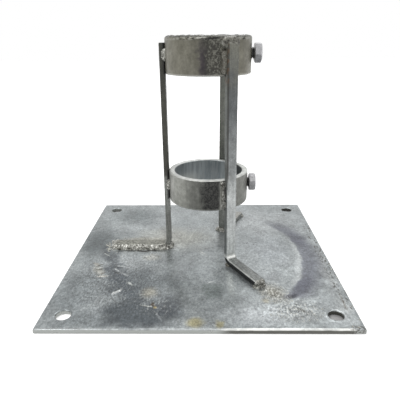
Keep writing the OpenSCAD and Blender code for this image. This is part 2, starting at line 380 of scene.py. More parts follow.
def grain_tree():
    """Beads of zinc and spatter strewn over a patch of surface, thicker in some places than others."""
    graph, given = start_tree("zinc_grains", {
        "Grains per square mm": 0.1, "Smallest": 0.15, "Largest": 0.6, "Flatness": 0.6,
        "Clump size": 8.0, "Seed": 1})
    clump = graph.grain(graph.read("Position"), given["Clump size"]).outputs[0]
    crowd = graph.span(clump, 0.38, 0.62, 0.0, 2.0)
    strewn = graph.node("GeometryNodeDistributePointsOnFaces", {"Mesh": given["Start"]})
    graph.feed(strewn.inputs["Density"], graph.times(crowd, given["Grains per square mm"]))
    graph.feed(strewn.inputs["Seed"], given["Seed"])
    chance = graph.node("FunctionNodeRandomValue", data_type="FLOAT")
    graph.feed(chance.inputs["Seed"], given["Seed"])
    few_large = graph.math("POWER", chance.outputs[1], 3.0)
    radius = graph.span(few_large, 0.0, 1.0, given["Smallest"], given["Largest"], smooth=False)
    shape = graph.joined(radius, radius, graph.times(radius, given["Flatness"]))
    ball = graph.node("GeometryNodeMeshUVSphere", {"Segments": 8, "Rings": 5, "Radius": 1.0})
    wanted = {"Points": strewn.outputs["Points"], "Instance": ball.outputs[0], "Scale": shape}
    copies = graph.node("GeometryNodeInstanceOnPoints", wanted)
    return end_tree(graph, copies.outputs[0], given)


def grown(tree, start, finish, **sizes):
    """The plain mesh that a shape tree makes from a start mesh and its sizes."""
    holder = bpy.data.objects.new("blank", start)
    bpy.context.scene.collection.objects.link(holder)
    maker = holder.modifiers.new("maker", "NODES")
    maker.node_group = tree
    wanted = {label.replace("_", " "): value for label, value in sizes.items()}
    wanted["Finish"] = finish
    for item in tree.interface.items_tree:
        if item.in_out == "INPUT" and item.name in wanted:
            maker[item.identifier] = wanted.pop(item.name)
    if wanted:
        raise ValueError("no such size: " + ", ".join(wanted))
    graph = bpy.context.evaluated_depsgraph_get()
    mesh = bpy.data.meshes.new_from_object(holder.evaluated_get(graph))
    bpy.data.objects.remove(holder)
    return mesh


def lines_mesh(points):
    """A mesh of the straight lines from each point to the next."""
    mesh = bpy.data.meshes.new("line")
    edges = [(i, i + 1) for i in range(len(points) - 1)]
    mesh.from_pydata([tuple(p) for p in points], edges, [])
    return mesh


def as_mesh(shell, name):
    """The mesh of a finished shell, with its faces turned outwards."""
    bmesh.ops.recalc_face_normals(shell, faces=shell.faces)
    mesh = bpy.data.meshes.new(name)
    shell.to_mesh(mesh)
    shell.free()
    return mesh


def join_rows(shell, first, second):
    """Faces between two closed rows of points."""
    for i in range(len(first)):
        j = (i + 1) % len(first)
        shell.faces.new((first[i], first[j], second[j], second[i]))


def merged(meshes):
    """One mesh from several."""
    whole = bmesh.new()
    for mesh in meshes:
        whole.from_mesh(mesh)
    return as_mesh(whole, "merged")


def add_piece(name, mesh, finish, nodes=(), body="bracket", sharp=50):
    """Puts a finished mesh in the scene as a piece that rides on a body and stands for CAD nodes."""
    mesh.name = name
    mesh.materials.clear()
    mesh.materials.append(finish)
    mesh.polygons.foreach_set("use_smooth", [True] * len(mesh.polygons))
    mesh.set_sharp_from_angle(angle=math.radians(sharp))
    piece = bpy.data.objects.new(name, mesh)
    bpy.context.scene.collection.objects.link(piece)
    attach(piece, body)
    if nodes:
        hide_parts(*nodes)


def round_mast(turn, out, side, height):
    """A point at a distance out from the mast's axis towards a leg, and aside from its middle."""
    angle = math.radians(turn)
    x = MAST.x + out * math.cos(angle) - side * math.sin(angle)
    y = MAST.y + out * math.sin(angle) + side * math.cos(angle)
    return Vector((x, y, height))


def leaned(leg, height):
    """How far aside a leg has leaned at a height."""
    return -math.tan(math.radians(LEAN[leg])) * (height - TOP - LIFT[leg] - HEEL_R)


def heel_bead_out(radius, lift):
    """How far out from a bar's inner face its heel bead lies."""
    reach = (HEEL_R + 0.55 * radius) ** 2 - (HEEL_R + BEAD_SINK + lift) ** 2
    return HEEL_R - math.sqrt(reach)


# ---------------------------------------------------------------- finishes

FLAT = 1000.0       # a pattern stretched this long upright is the same all the way up
FRINGE = 0.8        # how far a mark between two heights fades out
THIN, THICK = 0.3, 0.7      # where cloudy noise is nearly at its least and at its most
UP = (0, 0, 1)


def paint(red, green, blue):
    """A colour given in the usual 0 to 255 steps, as a shader needs it."""
    steps = [value / 255 for value in (red, green, blue)]
    linear = [s / 12.92 if s < 0.04045 else ((s + 0.055) / 1.055) ** 2.4 for s in steps]
    return (*linear, 1.0)


class Finish(Graph):
    """A metal finish being made: its shader, millimetre coordinates and short calls for its layers."""

    def __init__(self, name, metal):
        self.material = bpy.data.materials.new(name)
        self.material.use_nodes = True
        super().__init__(self.material.node_tree)
        self.shader = self.tree.nodes["Principled BSDF"]
        self.shader.inputs["Metallic"].default_value = metal
        coords = self.node("ShaderNodeTexCoord").outputs
        self.mm = self.scaled(coords["Object"], 1 / MM)
        self.outward = coords["Normal"]
        self.normal = None

    def cloud(self, size, detail=3.0, rough=0.55, where=None):
        return self.grain(where or self.mm, size, detail, rough).outputs["Fac"]

    def streaks(self, size, detail=4.0, rough=0.6, where=None, centre=(0, 0, 0), turn=0.0):
        """Cloudy noise whose lumps are stretched to a size along each axis."""
        return self.cloud(1.0, detail, rough, self.laid(where or self.mm, centre, turn, size))

    def wandered(self, size, reach):
        """The coordinates, pushed about so that marks get natural outlines."""
        drift = self.grain(self.mm, size, 3.0).outputs["Color"]
        centred = self.vector("SUBTRACT", drift, (0.5, 0.5, 0.5))
        return self.vector("ADD", self.mm, self.scaled(centred, 4 * reach))

    def laid(self, where, centre=(0, 0, 0), turn=0.0, size=(1, 1, 1)):
        """Coordinates of a pattern that is centred, turned and stretched to a size."""
        made = self.node("ShaderNodeMapping", {"Vector": where}, vector_type="TEXTURE")
        made.inputs["Location"].default_value = centre
        made.inputs["Rotation"].default_value = (0, 0, math.radians(turn))
        made.inputs["Scale"].default_value = size
        return made.outputs[0]

    def spot(self, where, x, y, long, wide, turn=0.0, soft=0.6):
        """1 inside an ellipse on the plate and 0 outside it, with a soft edge."""
        inside = self.laid(where, (x, y, 0), turn, (long, wide, FLAT))
        return self.span(self.vector("LENGTH", inside), 1.0, 1.0 - soft)

    def within(self, value, low, high):
        """1 from low to high, fading to 0 just outside them."""
        return self.band(value, low - FRINGE, low, high, high + FRINGE)

    def facing(self, direction, low, high):
        """1 where the surface faces a direction of the object, 0 where it faces away."""
        return self.span(self.vector("DOT_PRODUCT", self.outward, direction), low, high)

    def mix(self, share, first, second):
        """Mixes two colours as vectors, which keeps the shader small enough for the plate's many marks."""
        made = self.node("ShaderNodeMix", {0: share, 4: first, 5: second}, data_type="VECTOR")
        return made.outputs[1]

    def stain(self, tone, mask, strength, colour):
        return self.mix(self.times(mask, strength), tone, paint(*colour))

    def shade(self, tone, value, low, high, dark, light):
        """Multiplies a colour by dark..light as a pattern goes from low to high."""
        return self.scaled(tone, self.span(value, low, high, dark, light))

    def mottled(self, tone, clouds, depth):
        """Darkens and lightens a colour by depth, where clouds are thin and thick."""
        return self.shade(tone, clouds, THIN, THICK, 1 - depth, 1 + depth)

    def add_bump(self, height, depth):
        """Raises the surface by up to depth, in millimetres, where height is 1."""
        made = self.node("ShaderNodeBump", {"Height": height, "Distance": depth * MM, "Strength": 1.0})
        if self.normal:
            self.feed(made.inputs["Normal"], self.normal)
        self.normal = made.outputs[0]

    def done(self, colour, size, smooth, rough):
        """Ends a finish: its roughness drifts from smooth to rough in clouds of a size."""
        roughness = self.span(self.cloud(size), THIN, THICK, smooth, rough)
        for socket, value in (("Base Color", colour), ("Roughness", roughness), ("Normal", self.normal)):
            self.feed(self.shader.inputs[socket], value)
        return self.material


# Marks on the plate: x, y, half length, half width, turn, softness, strength, colour.
BROAD_MARKS = (
    # broad tones of the dip
    (-28, 28, 62, 40, 0, 0.9, 0.75, (158, 158, 150)),
    (-110, 16, 28, 56, 4, 0.8, 0.95, (92, 98, 99)),
    (-78, 88, 44, 36, 0, 0.9, 0.95, (116, 122, 123)),
    (-104, -72, 32, 58, 0, 0.8, 0.75, (114, 120, 122)),
    (-60, -60, 42, 44, 0, 0.8, 0.85, (88, 94, 97)),
    (70, 70, 60, 50, 0, 0.9, 0.7, (174, 178, 179)),
    (70, 2, 27, 46, 8, 0.7, 0.6, (158, 163, 166)),
    (-8, -40, 24, 24, 0, 0.8, 0.4, (150, 155, 157)),
    (40, -106, 34, 18, 0, 0.8, 0.6, (168, 172, 174)),
    (114, -98, 10, 30, 0, 0.8, 0.6, (172, 176, 176)),
    # a painted shadow left of the left foot's toe, then the dark ground at the front left and the bow that
    # leads down to it
    (-97, 4, 9, 13, 0, 0.8, 0.75, (78, 84, 87)),
    (-88, -14, 22, 11, -70, 0.8, 0.85, (80, 86, 90)),
    (-82, -34, 16, 11, -64, 0.7, 0.85, (80, 86, 91)),
    (-76, -50, 22, 11, -64, 0.8, 0.9, (78, 85, 91)),
    (-62, -74, 30, 18, -50, 0.8, 0.85, (78, 84, 88)),
    (-48, -104, 45, 27, 4, 0.6, 0.95, (70, 76, 80)),
    (-90, -114, 28, 14, 0, 0.8, 0.65, (104, 110, 112)),
    (-24, -96, 14, 22, 12, 0.8, 0.6, (94, 99, 104)),
    (-30, -60, 18, 20, 0, 0.8, 0.5, (118, 124, 126)),
    (10, -72, 13, 18, 0, 0.5, 0.7, (116, 124, 122)),
    (67, -48, 10, 14, 0, 0.8, 0.6, (124, 127, 128)),
    (116, -40, 9, 50, 0, 0.8, 0.6, (140, 142, 142)),
)
SMALL_MARKS = (
    # pale marks
    (-95, -40, 14, 7, -60, 0.8, 0.6, (172, 170, 160)),
    (-100, -28, 7, 4, -30, 0.8, 0.45, (166, 160, 146)),
    (27, -62, 5, 26, 2, 0.8, 0.6, (180, 184, 182)),
    (82, -108, 27, 12, 8, 0.8, 0.3, (160, 163, 163)),
    (-48, -15, 11, 9, 0, 0.8, 0.5, (166, 165, 158)),
    (-62, 25, 30, 7, 0, 0.9, 0.5, (168, 164, 150)),
    # dark marks, brown and yellow stains, and two painted shadows
    (-27, -53, 3, 7, -20, 0.7, 0.6, (112, 116, 116)),
    # painted shadows along the front of the left foot's long bead and under the front foot's left edge
    (-60, -1.6, 31, 2.2, 0, 0.6, 0.9, (50, 48, 44)),
    (38.5, -46.5, 25, 2.2, -60, 0.5, 0.9, (34, 34, 32)),
    # brown and yellow stains
    (-43, -76, 11, 12, 0, 0.9, 0.65, (156, 152, 138)),
    (-38, -93, 2, 4, 20, 0.5, 0.85, (74, 64, 50)),
    (-35, -97, 2, 3, 30, 0.7, 0.6, (176, 158, 104)),
    (-3, -116, 10, 9, 0, 0.8, 0.75, (164, 155, 112)),
    (16, -118, 5, 7, 0, 0.7, 0.65, (164, 155, 112)),
    (63, -76, 21, 15, -62, 0.9, 0.75, (130, 127, 115)),
    (55, -88, 5, 6, 0, 0.9, 0.5, (158, 148, 118)),
    (118, -90, 1.5, 20, 0, 0.8, 0.5, (112, 104, 92)),
)
PALE, DARK = (186, 189, 185), (56, 60, 62)
SCRATCH_MARKS = (
    # hammer marks left of the bow
    (-96, -30, 6, 1.4, 40, 0.7, 0.75, (82, 80, 70)), (-95, -35, 5, 1.4, 30, 0.7, 0.75, PALE),
    (-95, -38, 5, 1.2, 25, 0.7, 0.6, (86, 84, 74)), (-89, -50, 7, 2, 10, 0.7, 0.85, (198, 196, 188)),
    (-90, -45, 3.5, 1.3, 20, 0.7, 0.6, (108, 98, 86)),
    # scratches over the bow
    (-76, -32, 9, 1.3, -15, 0.7, 0.85, (170, 174, 174)), (-78, -34, 7, 1.2, -10, 0.7, 0.85, DARK),
    (-78, -39, 7, 1.4, -45, 0.7, 0.85, (174, 178, 178)), (-77, -44, 8, 1.5, -40, 0.7, 0.95, DARK),
    (-70, -46, 7, 1.3, -40, 0.7, 0.8, (166, 170, 170)), (-95, -7, 7, 1.1, -45, 0.7, 0.8, DARK),
    (-94, -9, 7, 1, -40, 0.7, 0.8, (174, 178, 174)), (-62, -62, 6, 1.6, -40, 0.7, 0.7, PALE),
    (-71, -75, 7, 2.4, 45, 0.7, 0.8, (200, 203, 202)), (-43, -95, 6, 1.4, -15, 0.7, 0.8, PALE),
    (-32, -108, 10, 1.4, -60, 0.7, 0.55, (150, 154, 156)),
    # scratches in the middle and a dark knock at the right
    (2, -5, 10, 0.9, -50, 0.7, 0.75, PALE), (0, -7, 8, 0.8, -50, 0.7, 0.6, PALE),
    (9, -60, 6, 1, 35, 0.7, 0.85, (200, 203, 202)), (82, -101, 7, 2.4, -45, 0.7, 0.75, (88, 88, 84)),
)

# Fields of fine light and dark grain: x, y, half length, half width, turn, and how strong each is.
SPECKLES = (
    (-60, 12, 42, 22, 0, 0.5, 0.45), (-48, -14, 14, 10, 0, 0.75, 0.6), (63, -75, 22, 17, -62, 0.8, 0.75),
    (77, -100, 28, 17, 10, 0.95, 0.75), (-78, -62, 50, 58, 0, 0.2, 0.35), (-34, -94, 26, 20, 0, 0.35, 0.4),
    (119, -50, 4, 72, 0, 0.4, 0.7), (30, 60, 30, 30, 0, 0.25, 0.25),
)


# Fields of scratches: x, y, half length, half width of the field, and the scratches' turn.
SCRATCHES = (
    (-70, -30, 30, 24, 38), (-66, -38, 26, 22, 62), (-4, -2, 34, 20, -32),
    (12, -70, 30, 22, 12), (-85, -46, 16, 10, 4), (60, 20, 40, 30, -20),
)


def plate_finish():
    """Hot-dip zinc on sheet: cloudy blue-grey with faint spangle, runs, stains and scratches."""
    made = Finish("galvanised_plate", 0.6)
    drift = made.wandered(15, 6.0)
    tone = made.mix(made.span(made.cloud(34, 4), 0.36, 0.66), paint(142, 147, 148), paint(158, 163, 164))
    near = made.wandered(7, 1.4)
    fine = made.wandered(2.6, 0.6)
    for where, marks in ((drift, BROAD_MARKS), (near, SMALL_MARKS), (fine, SCRATCH_MARKS)):
        for x, y, long, wide, turn, soft, strength, colour in marks:
            tone = made.stain(tone, made.spot(where, x, y, long, wide, turn, soft), strength, colour)
    tone = violet_bow(made, tone, made.wandered(12, 2.0))
    tone = made.mottled(tone, made.cloud(12, 4, 0.6), 0.14)
    tone = made.mottled(tone, made.cloud(3.2, 5, 0.65), 0.18)
    tone = made.mottled(tone, made.cloud(1.1, 2, 0.6), 0.18)
    crystals = made.node("ShaderNodeTexVoronoi", {"Vector": drift, "Scale": 1 / 2.6})
    crystal = made.split(crystals.outputs["Color"])[0]
    crystal_zone = made.spot(drift, 74, -100, 42, 26, 15)
    tone = made.shade(tone, crystal, 0.0, 1.0, 0.965, 1.035)
    tone = made.mix(crystal_zone, tone, made.shade(tone, crystal, 0.0, 1.0, 0.8, 1.14))
    tone = plate_edge(made, scratched(made, speckled(made, tone)))
    made.add_bump(made.cloud(5.5, 4, 0.6), 0.12)
    made.add_bump(made.cloud(1.3, 3, 0.6), 0.04)
    made.add_bump(made.times(crystal, crystal_zone), 0.14)
    return made.done(tone, 24, 0.26, 0.42)


def violet_bow(made, tone, drift):
    """The dark violet bow on the right of the plate, with a chalky bow inside it."""
    from_centre = made.laid(drift, (-13, -6, 0), 0, (1, 1, FLAT))
    out = made.vector("LENGTH", from_centre)
    across, along = made.split(from_centre)[:2]
    on_right = made.span(across, 60, 80)
    bow = made.times(made.band(out, 110, 116, 122, 138), made.band(along, -82, -74, 60, 84), on_right)
    strong = made.larger(made.spot(drift, 106, 26, 16, 28, 8, 0.8),
                         made.spot(drift, 91, -64, 12, 26, -36, 0.8))
    depth = made.times(bow, made.span(strong, 0.0, 1.0, 0.8, 1.0))
    tone = made.stain(tone, depth, 0.92, (90, 92, 102))
    tone = made.stain(tone, made.spot(drift, 79, -81, 9, 5, 35, 0.8), 0.85, (50, 50, 58))
    chalk = made.band(out, 105, 110, 111.5, 114.5)
    side = made.band(along, -66, -50, 10, 34)
    return made.stain(tone, made.times(chalk, side, on_right), 0.5, (186, 190, 190))


def speckled(made, tone):
    """Fine grain all over, coarser at the left, and fields of light and dark specks."""
    fine = made.streaks((1.7, 3.6, FLAT), 3, 0.7)
    light, dark = made.span(fine, 0.54, 0.62), made.span(fine, 0.46, 0.38)
    tone = made.shade(tone, fine, 0.36, 0.64, 0.86, 1.14)
    grit = made.streaks((1.3, 3.0, FLAT), 2)
    gritty = made.spot(made.mm, -72, -62, 66, 78, 0, 0.7)
    tone = made.mix(gritty, tone, made.shade(tone, grit, 0.36, 0.64, 0.72, 1.3))
    for x, y, long, wide, turn, bright, dim in SPECKLES:
        field = made.spot(made.mm, x, y, long, wide, turn, 0.8)
        tone = made.stain(tone, made.times(light, field), bright, (204, 205, 200))
        tone = made.stain(tone, made.times(dark, field), dim, (66, 66, 62))
    return tone


def scratched(made, tone):
    for x, y, long, wide, turn in SCRATCHES:
        lines = made.streaks((16, 0.45, FLAT), 1.0, 0.5, centre=(x, y, 0), turn=turn)
        field = made.spot(made.mm, x, y, long, wide, turn, 0.8)
        tone = made.stain(tone, made.times(made.span(lines, 0.62, 0.72), field), 0.55, (196, 198, 196))
    return tone


def plate_edge(made, tone):
    """Cut edges with painted light and shade, dark across the right and pale elsewhere, under a drip lip
    that is thick along the right of the front edge and carries a painted highlight.
    """
    x, y = made.split(made.mm)[:2]
    right = made.band(x, 12, 26, 114, 119)
    # painted light and shade on the cut side faces
    edge = made.mix(right, paint(158, 161, 158), paint(92, 92, 87))
    tone = made.mix(made.facing(UP, 0.2, 0.55), edge, tone)
    # a painted highlight along the drip lip, broken up in clouds
    lip = made.times(made.span(y, -122.4, -123.6), made.span(made.facing(UP, 0.0, 0.3), 0.2, 0.8))
    highlight_breaks = made.span(made.cloud(9), 0.34, 0.56, 0.55, 1.0)
    strength = made.times(made.span(right, 0.0, 1.0, 0.1, 0.9), highlight_breaks)
    tone = made.mix(made.times(lip, strength), tone, paint(240, 240, 236))
    pits = made.streaks((2.2, 5.0, FLAT), 2, 0.5)
    along = made.times(made.span(x, 115.5, 117), made.within(y, -100, 66))
    tone = made.stain(tone, made.times(along, made.span(pits, 0.56, 0.62)), 0.75, (62, 57, 48))
    torn = made.times(made.spot(made.mm, 119, -123, 9, 5), made.span(made.cloud(1.6), 0.44, 0.56))
    return made.stain(tone, torn, 0.8, (66, 62, 56))


def outward(leg):
    """The level direction from the mast to a leg."""
    angle = math.radians(LEG_TURN[leg])
    return (math.cos(angle), math.sin(angle), 0)


def bar_finish(leg, tones, side_tones, foot, crust):
    """Dipped flat bar: each tone holds from the height it is given with, down to the next; the tones paint
    a reflection that brightens the bar towards its foot, and its sides' own light and shade.
    """
    made = Finish("galvanised_bar_" + leg, 0.5)
    height = made.split(made.mm)[2]
    level = made.plus(height, made.times(made.minus(made.cloud(12), 0.5), 40))
    face, side = down_tones(made, level, tones), down_tones(made, level, side_tones)
    # painted light and shade: the broad face and the sides take their own tones, and faces that face up
    # take the foot's colour
    tone = made.mix(made.facing(outward(leg), 0.35, 0.85), side, face)
    tone = made.mix(made.facing(UP, 0.4, 0.8), tone, paint(*foot))
    tone = made.mottled(tone, made.streaks((2.2, 2.2, 26)), 0.18)
    tone = made.mottled(tone, made.cloud(4, 4, 0.6), 0.14)
    tone = made.mottled(tone, made.cloud(1.2, 3, 0.6), 0.16)
    if leg == "front":
        tone = front_marks(made, tone, height)
    tone = ring_crevice_shade(made, tone, leg, height)
    on_foot = made.span(height, 18, 11)
    grit = made.cloud(1.6, 4, 0.7)
    tone = made.mix(on_foot, tone, made.shade(tone, grit, 0.32, 0.68, 1 - crust, 1 + crust))
    made.add_bump(made.cloud(3.5, 4, 0.6), 0.1)
    made.add_bump(made.times(grit, on_foot), 0.7 * crust)
    return made.done(tone, 9, 0.34, 0.5)


def down_tones(made, level, tones):
    """A colour that changes down a bar, from (height, colour) pairs that start at the top."""
    tone = paint(*tones[0][1])
    for (above, _), (below, colour) in zip(tones, tones[1:]):
        tone = made.mix(made.span(level, above, below), tone, paint(*colour))
    return tone


def from_mast(made, leg):
    """Coordinates out from the mast's axis to a leg, aside from the leg's middle, and up."""
    return made.laid(made.mm, tuple(MAST), LEG_TURN[leg])


def beside_bar(made, leg):
    """How far out from the mast's axis and how far aside from a leaning bar's middle a place is."""
    out, side, height = made.split(from_mast(made, leg))[:3]
    lean = math.tan(math.radians(LEAN[leg]))
    return out, made.plus(side, made.times(made.minus(height, TOP + HEEL_R), lean))


def ring_crevice_shade(made, tone, leg, height):
    """Painted shade in the gap where a bar's inner corners run along the rings."""
    out = made.split(from_mast(made, leg))[0]
    inner = made.span(out, RING_R + 2.6, RING_R + 1.4)
    beside = made.larger(made.within(height, LOWER_LOW.z, LOWER_HIGH.z),
                         made.within(height, UPPER_LOW.z, UPPER_HIGH.z))
    return made.stain(tone, made.times(inner, beside), 0.85, (26, 26, 24))


def front_marks(made, tone, height):
    """The front bar's dark left corner, the rust beside the upper ring, and its streaked foot, with painted
    highlights on the foot's left edge and on the bend and painted shade on the foot's side.
    """
    out, side = beside_bar(made, "front")
    from_edge = made.apart(side, -BAR_W / 2)
    from_face = made.apart(out, RING_R + BAR_T)
    corner = made.span(made.plus(from_edge, from_face), 1.7, 0.7)
    tone = made.stain(tone, made.times(corner, made.span(height, 70, 95)), 0.75, (44, 44, 40))
    beside_ring = made.times(made.span(height, 168, 176), made.span(from_edge, 1.5, 0.6))
    patchy = made.span(made.cloud(2.4), 0.44, 0.58)
    tone = made.stain(tone, made.times(beside_ring, patchy), 0.6, (84, 64, 46))
    on_foot = made.span(height, 11.5, 10.6)
    foot_streaks = made.streaks((14, 1.1, FLAT), where=from_mast(made, "front"))
    tone = made.mix(on_foot, tone, made.shade(tone, foot_streaks, 0.34, 0.66, 0.56, 1.2))
    # a painted highlight along the foot's left edge
    edge = made.times(on_foot, made.span(from_edge, 1.1, 0.5), made.facing(UP, 0.2, 0.6))
    tone = made.stain(tone, edge, 0.6, (206, 208, 204))
    # painted shade on the foot's left side
    under = made.times(on_foot, made.span(from_edge, 2.0, 1.0), made.facing(UP, 0.35, 0.0))
    tone = made.stain(tone, under, 0.95, (14, 14, 14))
    # a painted highlight on the bend
    return made.stain(tone, made.band(height, 10.4, 11.2, 12.5, 16), 0.75, (214, 216, 212))


def ring_finish(name, low, high, look):
    """Dipped pipe: warm mottled grey outside, bluer inside with runs down the wall, with painted light,
    shade and reflection.
    """
    made = Finish("galvanised_pipe_" + name, 0.5)
    x, y, height = made.split(made.vector("SUBTRACT", made.mm, (MAST.x, MAST.y, 0)))[:3]
    flat = made.joined(x, y, 0.0)
    out = made.vector("LENGTH", flat)
    bearing = made.times(made.math("ARCTAN2", y, x), 180 / math.pi)
    wobble = made.times(made.minus(made.cloud(5, 4), 0.5), 20)
    from_dark = made.minus(bearing, DARK_TURN)
    tone = ring_ground(made, from_dark, look["outside"], look["glow"])
    from_burn = made.apart(height, low + BURN_UP)
    tone, crust = dark_reflection_patch(made, tone, from_dark, wobble, from_burn, look)
    tone = made.mottled(tone, made.cloud(2.4, 4, 0.65), 0.14)
    if name == "upper":
        tone = upper_marks(made, tone, height, high, from_dark, wobble)
    else:
        tone = made.stain(tone, made.band(from_dark, 13, 15, 18, 20), 0.55, (168, 168, 162))
    # a painted highlight along the bottom edge
    tone = made.stain(tone, made.within(height, low + 0.5, low + 1.0), 0.35, (190, 190, 184))
    tone = leg_crevice_shade(made, tone, made.vector("NORMALIZE", flat))
    wall = ring_wall(made, look["inside"], bearing, height, low)
    tone = made.mix(made.span(out, RING_R - 1.5, BORE_R + 1.0), tone, wall)
    # painted light and shade on the rim: faces that face up take the rim colour, bright on the lower ring
    # and dark on the upper
    rim = made.shade(paint(*look["rim"]), made.cloud(6, 4, 0.6), 0.36, 0.62, 0.76, 1.06)
    tone = made.mix(made.times(made.facing(UP, 0.35, 0.8), 0.85), tone, rim)
    made.add_bump(made.cloud(4.0, 4, 0.6), 0.14)
    made.add_bump(made.cloud(1.2, 3, 0.6), 0.05)
    made.add_bump(crust, 0.25 * look["dark"])
    return made.done(tone, 8, 0.32, 0.5)


def ring_ground(made, from_dark, outside, glow):
    """The pipe's own colour, with a painted reflection that darkens it near the dark patch and painted
    light that brightens it on its left.
    """
    light = [step + 12 for step in outside]
    tone = made.mix(made.span(made.cloud(9, 4), 0.38, 0.62), paint(*outside), paint(*light))
    # painted reflection and painted light, by bearing round the pipe
    tone = made.shade(tone, made.math("ABSOLUTE", from_dark), 14, 52, 0.74, 1.04)
    tone = made.shade(tone, from_dark, -20, -40, 1.0, glow)
    tone = made.shade(tone, from_dark, -56, -84, 1.0, 1 / glow)
    return made.mottled(tone, made.streaks((3.2, 3.2, 18)), 0.1)


def dark_reflection_patch(made, tone, from_dark, wobble, from_burn, look):
    """The dark patch beside the front leg, a painted reflection speckled with crust, the violet stripe on
    its left, and the patch's crust.
    """
    soft = made.plus(from_dark, wobble)
    stripe = made.times(made.band(soft, -18, -10, -8, 0), made.span(from_burn, 16, 4, 0.35, 1.0))
    tone = made.stain(tone, stripe, look["violet"], (54, 46, 54))
    speckle = made.cloud(1.5, 4, 0.7)
    near_leg = made.span(made.plus(from_dark, made.times(wobble, 0.3)), 15, 11)
    # painted reflection: the patch darkens the pipe, less so where the speckle is thick
    patch = made.times(made.span(soft, -20, -4), near_leg)
    painted_dark = made.times(patch, made.span(speckle, 0.4, 0.62, 1.0, 0.6))
    return made.stain(tone, painted_dark, look["dark"], (22, 22, 22)), made.times(patch, speckle)


def ring_wall(made, inside, bearing, height, low):
    """The bore: runs down a bluish wall, with painted light low on the left and painted shade on the right.
    """
    runs = made.streaks((2.4, 2.4, 22))
    wall = made.mottled(paint(*inside), runs, 0.2)
    run_zone = made.band(bearing, 62, 70, 92, 100)
    wall = made.stain(wall, made.times(run_zone, made.span(runs, 0.42, 0.56)), 0.5, (76, 86, 92))
    painted_light_low_left = made.times(made.span(bearing, 100, 125), made.span(height, low + 22, low + 8))
    wall = made.stain(wall, painted_light_low_left, 0.6, (190, 192, 186))
    # painted shade on the right of the bore
    return made.stain(wall, made.band(bearing, -30, -10, 36, 50), 0.8, (44, 44, 42))


def upper_marks(made, tone, height, high, from_dark, wobble):
    """The upper ring's torn, hammered top, with a painted highlight on its torn lips and painted shade in
    the cracks under them, and the spatter between its dark patch and the front leg.
    """
    zone = made.times(made.span(made.plus(from_dark, wobble), -6, 3), made.span(from_dark, 30, 26))
    spatter = made.cloud(1.5, 3, 0.6)
    tone = made.stain(tone, made.times(zone, made.span(spatter, 0.5, 0.6)), 0.5, (124, 124, 116))
    tone = made.stain(tone, made.times(zone, made.span(spatter, 0.48, 0.4)), 0.75, (48, 46, 42))
    band = made.span(made.plus(height, made.times(wobble, 0.08)), high - 4.4, high - 3.4)
    torn = made.streaks((6.5, 6.5, 2.0), 4, 0.65)
    # a painted highlight on the torn lips, and painted shade in the cracks under them
    tone = made.stain(tone, made.times(band, made.span(torn, 0.48, 0.58)), 0.7, (150, 150, 144))
    crack_shade = made.times(band, made.span(torn, 0.485, 0.44), made.band(from_dark, -52, -34, 50, 62))
    return made.stain(tone, crack_shade, 0.95, (28, 28, 27))


def leg_crevice_shade(made, tone, direction):
    """Painted shade: dark lines down a ring where each leg runs along it."""
    for leg in ("left", "back"):
        toward = made.vector("DOT_PRODUCT", direction, outward(leg))
        tone = made.stain(tone, made.span(toward, 0.972, 0.984), 0.8, (30, 30, 28))
    return tone


def weld_finish(name, ground, lit, painted_dark, crust_size=1.7, bar=None):
    """Weld metal under zinc, with painted highlights on its crests and painted shade in its hollows and in
    the gaps beside a bar.
    """
    made = Finish(name, 0.4)
    tone = made.mottled(paint(*ground), made.cloud(2.6, 4, 0.65), 0.2)
    crust = made.cloud(crust_size, 4, 0.7)
    # painted highlights on the crests and painted shade in the hollows
    tone = made.stain(tone, made.span(crust, 0.53, 0.62), lit, (232, 232, 226))
    tone = made.stain(tone, made.span(crust, 0.47, 0.39), painted_dark, (46, 43, 38))
    if bar:
        from_bar = made.minus(made.math("ABSOLUTE", beside_bar(made, bar)[1]), BAR_W / 2)
        # painted shade in the gaps beside the bar
        gap_shade = made.times(made.span(from_bar, 2.4, 0.9), made.span(made.cloud(6, 2), 0.42, 0.5))
        tone = made.stain(tone, gap_shade, 0.92, (24, 23, 21))
    made.add_bump(crust, 0.35)
    return made.done(tone, 3, 0.32, 0.55)


def bolt_finish(name, ground):
    """Zinc plate on a forged bolt, dulled in patches, with painted shade on faces that face down and a
    little painted light on faces that face up.
    """
    made = Finish(name, 0.45)
    tone = made.shade(paint(*ground), made.cloud(3.5, 4, 0.6), THIN, THICK, 0.84, 1.1)
    tone = made.shade(tone, made.cloud(0.9, 3, 0.6), THIN, THICK, 0.92, 1.06)
    # painted shade underneath and painted light on top
    tone = made.shade(tone, made.facing(UP, -0.6, 0.5), 0.0, 1.0, 0.84, 1.08)
    made.add_bump(made.cloud(1.1, 3, 0.6), 0.04)
    return made.done(tone, 4, 0.24, 0.42)


# ---------------------------------------------------------------- plate

SHEET_STEP = 2
SHEET_EDGE_R = 1.0
HOLE_PATCH = 11     # half of the square round a hole whose faces follow the hole


def ramp(value, low, high):
    """0 at low and before it, 1 at high and past it, and smooth between."""
    share = min(max((value - low) / (high - low), 0.0), 1.0)
    return share * share * (3 - 2 * share)


def relief(x, y):
    """How far the zinc skin of the plate's top stands off its nominal face."""
    spot = Vector((x, y, 0))
    skin = 0.16 * noise.noise(spot / 31) + 0.07 * noise.noise(spot / 8) + 0.04 * noise.noise(spot / 3.1)
    for hole_x in (-HOLE_AT, HOLE_AT):
        for hole_y in (-HOLE_AT, HOLE_AT):
            out = math.hypot(x - hole_x, y - hole_y) - HOLE_R - 1.5
            skin += 0.22 * math.exp(-out * out / 0.8)
    drip = ramp(y, -121.5, -123.8) * ramp(x, 10, 26)
    return skin + 0.3 * drip * (0.8 + 0.4 * noise.noise(spot / 5))


